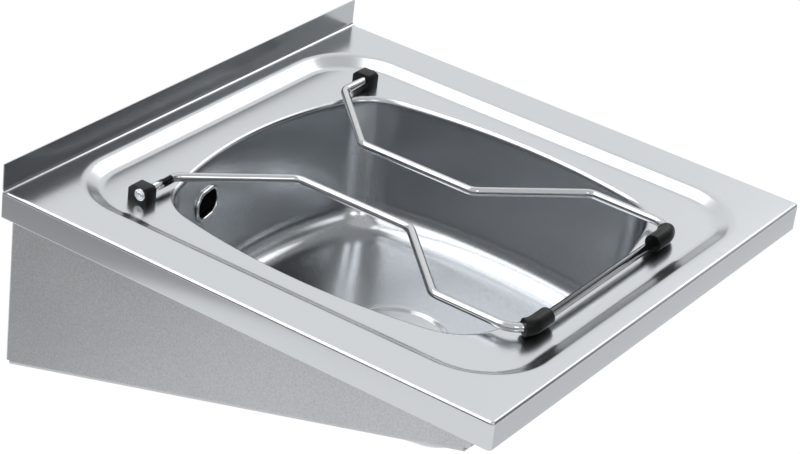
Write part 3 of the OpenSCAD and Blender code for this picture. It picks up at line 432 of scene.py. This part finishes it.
# Bowl: rolled rim, drafted wall and round foot drawn down from its flange, then the drain's seat
def bowl_sheet():
    bm = bmesh.new()
    face = bow(bm, -SEAM)
    wall_h = BOWL_DEPTH - RECESS_DEPTH - FALL
    rim_steps, foot_steps, before_rim = 10, 16, 0.8
    turns = [(pi / 2 - DRAFT) * i / rim_steps for i in range(rim_steps + 1)]
    rim = [(RIM_R * sin(a), RIM_R * (1 - cos(a))) for a in turns]
    turns = [(pi / 2 - DRAFT) * i / foot_steps for i in range(foot_steps, -1, -1)]
    straight = wall_h - FOOT_R * (1 - sin(DRAFT)) - RIM_R * (1 - sin(DRAFT))
    foot_in = (RIM_R + FOOT_R) * cos(DRAFT) + tan(DRAFT) * straight
    foot = [(foot_in - FOOT_R * sin(a), wall_h - FOOT_R * (1 - cos(a))) for a in turns]
    # Rings along the wall, two of them next to its bends, where they keep the shading of the wall straight
    shares = (0.05, 0.35, 0.65, 0.95)
    wall = [tuple(a + (b - a) * share for a, b in zip(rim[-1], foot[0])) for share in shares]
    press(bm, face, [(-SEAM, 0), (-before_rim, 0)] + rim + wall + foot)
    edge = list(face.edges)
    bmesh.ops.delete(bm, geom=[face], context="FACES_ONLY")
    lowest = Matrix.Translation((0, 0, RECESS_DEPTH - BOWL_DEPTH))
    made = bmesh.ops.create_circle(bm, cap_ends=True, segments=len(edge), radius=FLAT_R, matrix=lowest)
    face = list(made["verts"][0].link_faces)[0]
    spokes = bmesh.ops.bridge_loops(bm, edges=edge + list(face.edges))["edges"]
    bmesh.ops.subdivide_edges(bm, edges=spokes, cuts=3, use_grid_fill=True)
    face.normal_update()
    if face.normal.z < 0:
        face.normal_flip()
    seat = joggle(SEAT_DEPTH, SEAT_SLOPE, SEAT_FOLD, steps=5)
    # The seat's foot is drawn this much wider than the size, clear of what lies in it
    room = 0.4
    start = FLAT_R - SEAT_R - seat[-1][0] - room
    press(bm, face, [(0, 0)] + [(start + t, z) for t, z in seat] + [(FLAT_R - DRAIN_R, SEAT_DEPTH)])
    bmesh.ops.delete(bm, geom=[face], context="FACES_ONLY")
    place_on_bowl(bm, FLOOR_Z)
    close_up(bm)
    # The same for the bowl, whose inside is seen
    if min(bm.faces, key=lambda f: f.calc_center_median().z).normal.z < 0:
        bmesh.ops.reverse_faces(bm, faces=bm.faces)
    bmesh.ops.solidify(bm, geom=bm.faces[:], thickness=SHEET)

    # Slot of the overflow in the rear wall, cut square to the wall at its place
    slot = bmesh.new()
    cutter = 16
    face = rounded_face(slot, SLOT_W, SLOT_H, SLOT_H / 2 - TOUCH, segments=12)
    run(slot, [face], Vector((0, 0, cutter)))
    below_rim = SLOT_DROP - RECESS_DEPTH - RIM_R * (1 - sin(DRAFT))
    radius = END_R - (RIM_R * cos(DRAFT) + tan(DRAFT) * below_rim)
    turn = -atan2(SLOT_X, sqrt(radius * radius - SLOT_X * SLOT_X))
    middle = Vector((-SLOT_X, BOWL_Y + BOWL_L / 2 - END_R + radius * cos(turn), DECK_TOP - SLOT_DROP))
    square = Matrix.Rotation(-turn, 4, "Z") @ Matrix.Rotation(-DRAFT - pi / 2, 4, "X")
    centred = Matrix.Translation((0, 0, -cutter / 2))
    bmesh.ops.transform(slot, verts=slot.verts, matrix=Matrix.Translation(middle) @ square @ centred)
    close_up(slot)
    return cut(bm, slot)


def bar_ends(bm):
    return [f for f in bm.faces if abs(f.normal.x) > 0.99 and len(f.verts) == ROUND_SIDES]


# Bucket grid: one bar bent round eight corners of 45 degrees and two of 90, with a dimple in each end
def grid():
    bm = bmesh.new()
    front = HINGE_Y - REACH
    waist = HINGE_Y - (ARM_OUT - ARM_IN) - WAIST
    arm = [(BAR_END, HINGE_Y), (ARM_OUT, HINGE_Y), (ARM_IN, waist + WAIST), (ARM_IN, waist),
           (ARM_OUT, waist - (ARM_OUT - ARM_IN)), (ARM_OUT, front)]
    arm += [(-x, y) for x, y in reversed(arm)]
    path = [Vector((x, y, HINGE_Z)) for x, y in arm]
    radii = [0, ARM_BEND, ARM_BEND, ARM_BEND, ARM_BEND, CORNER_BEND]
    radii += radii[::-1]
    place, heading = path[0], (path[1] - path[0]).normalized()
    faces = round_section(bm, place, heading, BAR_R)
    for i in range(1, len(path)):
        turn, back = 0, 0
        if i < len(path) - 1:
            after = (path[i + 1] - path[i]).normalized()
            turn = atan2(heading.x * after.y - heading.y * after.x, heading.dot(after))
            back = radii[i] * tan(abs(turn) / 2)
        length = (path[i] - place).length - back
        faces = run(bm, faces, heading * length)
        place = place + heading * length
        if turn:
            faces, place, heading = bend(bm, faces, place, heading, turn, radii[i])
    close_up(bm)
    for face in bar_ends(bm):
        bevel(bm, list(face.edges), BAR_END_ROUND, segments=3)
    flat = BAR_R - BAR_END_ROUND
    for face in bar_ends(bm):
        press(bm, face, [(0, 0), (flat - DIMPLE_R, 0), (flat - DIMPLE_TIP, DIMPLE_DEPTH)])
    return bm


# Rubber sleeve on a front corner of the bar, from its straight into the bend
def sleeve(side):
    bm = bmesh.new()
    heading = Vector((side, 0, 0))
    place = Vector((side * (ARM_OUT - CORNER_BEND - SLEEVE_L), HINGE_Y - REACH, HINGE_Z))
    faces = run(bm, round_section(bm, place, heading, SLEEVE_R, BAR_R), heading * SLEEVE_L)
    bend(bm, faces, place + heading * SLEEVE_L, heading, side * SLEEVE_TURN, CORNER_BEND)
    close_up(bm)
    # The outer edges of both ends, told from those of the bore by the length of their facets
    between = pi * (BAR_R + SLEEVE_R) / ROUND_SIDES
    outer = [e for e in bm.edges if sharp(e) and e.calc_length() > between]
    bevel(bm, outer, SLEEVE_ROUND, segments=4)
    return bm


# Block with a chamfered nose and tail and a bore in which the bar turns
def pivot_block(side):
    bm = bmesh.new()
    front = HINGE_Y - BLOCK_NOSE
    inner = side * (BLOCK_OUT - BLOCK_W)
    outline = [(0, 0), (BLOCK_L, 0), (BLOCK_L, BLOCK_H - BLOCK_CHAMFER), (BLOCK_L - BLOCK_CHAMFER, BLOCK_H),
               (NOSE_CHAMFER, BLOCK_H), (0, BLOCK_H - NOSE_CHAMFER)]
    face = bm.faces.new([bm.verts.new((inner, front + y, FLOOR_Z + z)) for y, z in outline])
    run(bm, [face], Vector((side * BLOCK_W, 0, 0)))
    close_up(bm)
    above_foot = [e for e in bm.edges if any(v.co.z > FLOOR_Z + TOUCH for v in e.verts)]
    bevel(bm, above_foot, BLOCK_ROUND, segments=4)
    bore = bmesh.new()
    past = 2
    hinge = Vector((side * (BLOCK_OUT - BLOCK_W - past), HINGE_Y, HINGE_Z))
    section = round_section(bore, hinge, Vector((side, 0, 0)), BAR_R + BORE_PLAY)
    run(bore, section, Vector((side * (BLOCK_W + 2 * past), 0, 0)))
    close_up(bore)
    return cut(bm, bore)


# Rings that keep the bar's ends in the blocks
def retaining_rings():
    bm = bmesh.new()
    for side in (-1, 1):
        heading = Vector((side, 0, 0))
        place = Vector((side * (BLOCK_OUT + REST), HINGE_Y, HINGE_Z))
        run(bm, round_section(bm, place, heading, RING_R, BAR_R), heading * RING_T)
    close_up(bm)
    # The outer edges, away from the blocks
    outer = [e for e in edges_where(bm, lambda p: abs(p.x) > BLOCK_OUT + REST + TOUCH
                                    and Vector((p.y - HINGE_Y, p.z - HINGE_Z)).length > BAR_R + TOUCH)
             if sharp(e)]
    bevel(bm, outer, RING_ROUND, segments=4)
    return bm


piece("deck_pressed_sheet", deck_sheet(), satin_sheet, ["deck"])
# The bowl's steel carries painted shade: it is a darker copy of the deck's steel
bowl = piece("bowl_drawn_sheet", bowl_sheet(), satin_bowl, ["bowl"])
# The flange and the top 2 mm of the rim carry the deck's lighter steel, so the bowl's painted shade starts
# just below the rim
planished = 2
bowl.data.materials.append(satin_sheet)
for face in bowl.data.polygons:
    face.material_index = face.center.z > (FLOOR_Z - planished) * MM
piece("grid_bent_bar", grid(), polished_bar, ["grid_bar"], "grid")
piece("grid_sleeve_left", sleeve(-1), black_rubber, ["sleeve_left"], "grid")
piece("grid_sleeve_right", sleeve(1), black_rubber, ["sleeve_right"], "grid")
piece("hinge_block_left", pivot_block(-1), black_nylon, ["pivot_block_left"])
piece("hinge_block_right", pivot_block(1), black_nylon, ["pivot_block_right"])
piece("hinge_retaining_rings", retaining_rings(), bright_trim, ["bar_rings"], "grid")

for skin, names in {
    pickled: ("left_bracket", "right_bracket"),
    turned_steel: ("weld_studs", "stud_washers", "stud_nuts", "pivot_screws", "pivot_washers",
                   "strainer_screw", "overflow_studs", "overflow_nuts"),
    brushed_strainer: ("strainer",),
    seal_rubber: ("strainer_seal", "waste_gasket", "overflow_seal"),
    white_plastic: ("waste_body", "overflow_pipe", "pipe_nuts"),
    black_plastic: ("overflow_head",),
    bright_trim: ("overflow_bezel",),
    bitumen: ("drum_pad",),
}.items():
    for name in names:
        nodes[name].data.materials.clear()
        nodes[name].data.materials.append(skin)


# Studio, in metres
GROUND_Z, CARD_Z = -0.62, -0.61


def studio_sheet(name, place, size, skin):
    """Flat sheet that lies on the ground."""
    mesh = bpy.data.meshes.new(name)
    bm = bmesh.new()
    bmesh.ops.create_grid(bm, x_segments=1, y_segments=1, size=0.5)
    bmesh.ops.scale(bm, vec=(*size, 1), verts=bm.verts)
    bmesh.ops.translate(bm, vec=place, verts=bm.verts)
    bm.to_mesh(mesh)
    bm.free()
    mesh.materials.append(skin)
    sheet = bpy.data.objects.new(name, mesh)
    bpy.context.scene.collection.objects.link(sheet)
    return sheet


def white_paper():
    """Matt paper that shows almost white to the eye and to mirrors and glass, and still takes the shadow."""
    white_share, white_glow = 0.93, 1.03
    paper = bpy.data.materials.new("matt_white_paper")
    paper.use_nodes = True
    tree = paper.node_tree
    tree.nodes.remove(tree.nodes["Principled BSDF"])
    rays = add(tree, "LightPath").outputs
    seen = add(tree, "Math", {0: rays["Is Camera Ray"], 1: rays["Is Glossy Ray"]}, operation="MAXIMUM")
    seen = add(tree, "Math", {0: seen.outputs[0], 1: rays["Is Transmission Ray"]}, operation="MAXIMUM")
    share = add(tree, "Math", {0: seen.outputs[0], 1: white_share}, operation="MULTIPLY")
    matt = add(tree, "BsdfDiffuse", {"Color": linear("#f2f2f2")})
    glow = add(tree, "Emission", {"Color": (1, 1, 1, 1), "Strength": white_glow})
    mixed = add(tree, "MixShader", {"Fac": share.outputs[0], 1: matt.outputs[0], 2: glow.outputs[0]})
    tree.links.new(mixed.outputs[0], tree.nodes["Material Output"].inputs["Surface"])
    return paper


def ground():
    floor = studio_sheet("studio_floor", (0, 0, GROUND_Z), (40, 40), white_paper())
    # Cards on the floor, out of the picture: the left side darkens towards the grey one, and the white one
    # keeps the front apron a shade below the deck
    for name, place, size, light, dark in (("grey_card", (-1.5, 1.05), (1.8, 1.2), "#b4b4b4", "#acacac"),
                                           ("white_card", (1.2, -1.25), (2.2, 1.7), "#f6f6f6", "#f0f0f0")):
        matt_card = finish(name, light, dark, (0.8, 0.9), 3.0, 0.05)
        card = studio_sheet("studio_" + name, (*place, CARD_Z), size, matt_card)
        card.visible_camera = card.visible_shadow = card.visible_diffuse = False


def light_tent():
    """World that the steel mirrors: a light tent, open near the ground, with a bright zone and three dark
    ones. The dark ring by the ground draws the thin dark lines along the folds."""
    dark, light, darkest = 0.1, 0.7, 0.04
    ring_from, ring_to = 0.1, 0.3
    world = bpy.data.worlds.new("studio_tent")
    world.use_nodes = True
    bpy.context.scene.world = world
    tree = world.node_tree
    way = add(tree, "TexCoord").outputs["Generated"]
    up = add(tree, "SeparateXYZ", {"Vector": way}).outputs["Z"]
    level = add(tree, "MapRange", {"Value": up, "From Min": ring_from, "From Max": ring_to,
                                   "To Min": dark, "To Max": light},
                interpolation_type="SMOOTHSTEP").outputs[0]
    # Each zone has its turn from X and its height, the angles where it starts and where it is full, and what
    # it adds to the light
    for turn, height, wide, narrow, change in ((31.7, 28.8, 45, 15, 0.3), (-47, 32, 19, 12, -0.55),
                                               (-70, 30, 34, 15, -0.22), (150, 10, 25, 12, -0.5)):
        turn, height = radians(turn), radians(height)
        direction = Vector((cos(turn) * cos(height), sin(turn) * cos(height), sin(height)))
        close = add(tree, "VectorMath", {0: way, 1: direction}, operation="DOT_PRODUCT")
        zone = add(tree, "MapRange", {"Value": close.outputs["Value"], "From Min": cos(radians(wide)),
                                      "From Max": cos(radians(narrow)), "To Min": 0, "To Max": change},
                   interpolation_type="SMOOTHSTEP")
        level = add(tree, "Math", {0: zone.outputs["Result"], 1: level}, operation="ADD").outputs[0]
    level = add(tree, "Math", {0: level, 1: darkest}, operation="MAXIMUM").outputs[0]
    # White to the camera and through glass
    rays = add(tree, "LightPath").outputs
    seen = add(tree, "Math", {0: rays["Is Camera Ray"], 1: rays["Is Transmission Ray"]}, operation="MAXIMUM")
    level = add(tree, "Math", {0: level, 1: seen.outputs[0]}, operation="MAXIMUM").outputs[0]
    tree.links.new(level, tree.nodes["Background"].inputs["Strength"])
    tree.nodes["Background"].inputs["Color"].default_value = (1, 1, 1, 1)


def softboxes():
    """Square lamps turned to the sink's middle, each with its direction, side, distance and glow."""
    middle = Vector((0, -0.25, 0.05))
    for name, way, size, far, glow in (("softbox_over_wall", (0.0, 0.46, 0.88), 1.1, 2, 1.9),
                                       ("softbox_right", (0.76, 0.0, 0.65), 0.7, 2, 1.8),
                                       ("softbox_front", (-0.14, -0.78, 0.61), 0.4, 2, 3.2),
                                       ("softbox_behind_camera", (-0.5, -0.6, 0.68), 0.7, 3.4, 3.2),
                                       ("softbox_left", (-0.54, 0.42, 0.73), 1.3, 2, 1.6)):
        lamp = bpy.data.lights.new(name, "AREA")
        lamp.shape = "SQUARE"
        lamp.size = size
        # The power at which a lamp of this size has its glow
        lamp.energy = glow * pi * size * size
        way = Vector(way).normalized()
        lamp = bpy.data.objects.new(name, lamp)
        lamp.matrix_world = facing(middle + way * far, way)
        bpy.context.scene.collection.objects.link(lamp)


def camera():
    """Camera at the photograph's place: to the user's front left and above, turned a little on its axis."""
    azimuth, height, roll = radians(-58.2167), radians(28.7694), radians(7.2183)
    place = Vector((-1.7205, -1.30634, 1.17789))
    back = Vector((sin(azimuth) * cos(height), -cos(azimuth) * cos(height), sin(height)))
    right = (-back).cross(Vector((0, 0, 1))).normalized()
    up = right.cross(-back)
    right, up = right * cos(roll) + up * sin(roll), up * cos(roll) - right * sin(roll)
    data = bpy.data.cameras.new("camera")
    data.sensor_width = 36
    data.lens = 118.48
    data.clip_end = 100
    obj = bpy.data.objects.new("camera", data)
    obj.matrix_world = Matrix.Translation(place) @ Matrix((right, up, back)).transposed().to_4x4()
    bpy.context.scene.collection.objects.link(obj)
    bpy.context.scene.camera = obj


bpy.context.scene.view_settings.view_transform = "Standard"
camera()
ground()
light_tent()
softboxes()
